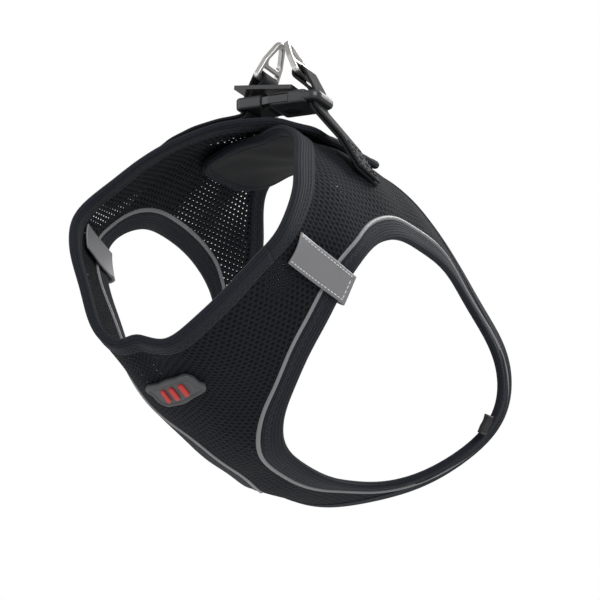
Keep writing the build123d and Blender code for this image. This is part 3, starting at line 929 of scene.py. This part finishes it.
def box_seam(path, square, at, side):
    """The stitches of a box with a cross in it, at the sewn end of a strap."""
    sign = 1 if (square[3] @ np.array([side * 0.6, 0.8])) > 0 else -1
    ends = []
    for y in (-SEAM_HALF, SEAM_HALF):
        for d in np.arange(SEAM_START, SEAM_STOP - 1, SEAM_PITCH):
            ends.append(thread(path, square, at, d, d + SEAM_STITCH, y, y, sign))
    for d in (SEAM_START, SEAM_STOP):
        for y in np.arange(1 - SEAM_HALF, SEAM_HALF - 1.4, SEAM_PITCH):
            ends.append(thread(path, square, at, d, d, y, y + SEAM_STITCH, sign))
    for k in range(5):
        for turn in (-1, 1):
            d, y = 3.0 + 2.9 * k, turn * (-5 + 2.5 * k)
            ends.append(thread(path, square, at, d, d + 1.5, y, y + turn * 1.4, sign))
    return ends


def thread(path, square, at, d_first, d_last, y_first, y_last, sign):
    """One stitch on the outer face of a strap."""
    out = []
    for d, y in ((d_first, y_first), (d_last, y_last)):
        p = np.array([np.interp(d, at, path[:, k]) for k in (0, 1)])
        n = np.array([np.interp(d, at, square[:, k]) for k in (0, 1)]) * sign
        p = p + n * THREAD_LIFT
        out.append(in_space(p) + slant(p) * np.array([0, 1, 0]) + y * width_direction(p))
    return out[0], out[1], n[0] * RIG_X + n[1] * RIG_Z


strap(
    "left_webbing",
    "left_strap",
    1,
    LEFT_SLOT,
    outer_sewn=[(46.4, -42.2), (35.6, -25.4)],
    inner_sewn=[(34.1, -26.4), (45, -43.2)],
    outer_low=(LEFT_SLOT + GAP, -4),
    inner_low=(LEFT_SLOT - GAP, -4.8),
)
strap(
    "right_webbing",
    "right_strap",
    -1,
    RIGHT_SLOT,
    outer_sewn=[over_wing(t, 5.4) for t in (1.71, 1.755, 1.8)],
    inner_sewn=[over_wing(t, 3.6) for t in (1.8, 1.755, 1.71)],
    outer_low=(RIGHT_SLOT - GAP, -3.6),
    inner_low=(RIGHT_SLOT + GAP, -4.9),
    pulled_by="plug",
)

# ---------------------------------------------------------------- hardware
HARDWARE = {
    "buckle_socket": PLASTIC,
    "buckle_plug": PLASTIC,
    "prong_front": PLASTIC,
    "prong_rear": PLASTIC,
    "keeper_plate": PLASTIC,
    "left_ring": NICKEL,
    "right_ring": NICKEL,
}
for name, material in HARDWARE.items():
    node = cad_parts[name]
    for slot in node.material_slots:
        slot.material = material
    soft = node.modifiers.new("soft edges", "BEVEL")
    soft.width = 0.25 * MM
    soft.segments = 2
    soft.limit_method = "ANGLE"
    soft.angle_limit = radians(40)
    soft.harden_normals = True

# ---------------------------------------------------------------- studio and camera
bpy.ops.mesh.primitive_plane_add(size=6, location=(0, 0, -0.5))
floor = bpy.context.object
floor.name = "floor"
paint(floor, plain("floor_paint", (0.85, 0.85, 0.85), 0.7, grain=200.0, depth=0.02, change=0.01))

world = bpy.data.worlds.new("studio")
world.use_nodes = True
sky = world.node_tree.nodes["Background"]
sky.inputs[0].default_value = (1, 1, 1, 1)
paths = world.node_tree.nodes.new("ShaderNodeLightPath")
level = world.node_tree.nodes.new("ShaderNodeMapRange")
level.inputs["To Min"].default_value = 0.42  # light that the surroundings give
level.inputs["To Max"].default_value = 1.0  # brightness of the background itself
world.node_tree.links.new(paths.outputs["Is Camera Ray"], level.inputs[0])
world.node_tree.links.new(level.outputs[0], sky.inputs[1])
bpy.context.scene.world = world
bpy.context.scene.view_settings.view_transform = "Standard"


def soft_light(name, place, target, size, power):
    """Square soft light at a place, turned towards the target."""
    lamp = bpy.data.lights.new(name, "AREA")
    lamp.size = size
    lamp.energy = power
    light = bpy.data.objects.new(name, lamp)
    light.location = place
    light.rotation_euler = (Vector(target) - Vector(place)).to_track_quat("-Z", "Y").to_euler()
    bpy.context.collection.objects.link(light)


soft_light("key", (0.9, -0.9, 0.7), (0, 0, -0.1), 0.7, 14)
soft_light("fill", (-0.9, -0.9, 0.1), (0, 0, -0.1), 0.9, 5)
soft_light("rim", (0.3, 1.0, 0.7), (0, 0, -0.08), 0.6, 8)

CAMERA_TARGET = Vector((0, 0.007, -0.08))
CAMERA_DISTANCE = 1.111
azimuth, elevation, roll = radians(25.42), radians(-11.46), radians(-7.2)
back = Vector((sin(azimuth) * cos(elevation), -cos(azimuth) * cos(elevation), sin(elevation)))
right = Vector((cos(azimuth), sin(azimuth), 0))
up = back.cross(right)
image_right = cos(roll) * right - sin(roll) * up
image_up = sin(roll) * right + cos(roll) * up
camera_data = bpy.data.cameras.new("camera")
camera_data.sensor_width = 36
camera_data.lens = 146.7
camera_data.shift_x = 0.0403
camera_data.shift_y = -0.1159
camera = bpy.data.objects.new("camera", camera_data)
turned = Matrix((image_right, image_up, back)).transposed().to_4x4()
camera.matrix_world = Matrix.Translation(CAMERA_TARGET + back * CAMERA_DISTANCE) @ turned
bpy.context.collection.objects.link(camera)
bpy.context.scene.camera = camera
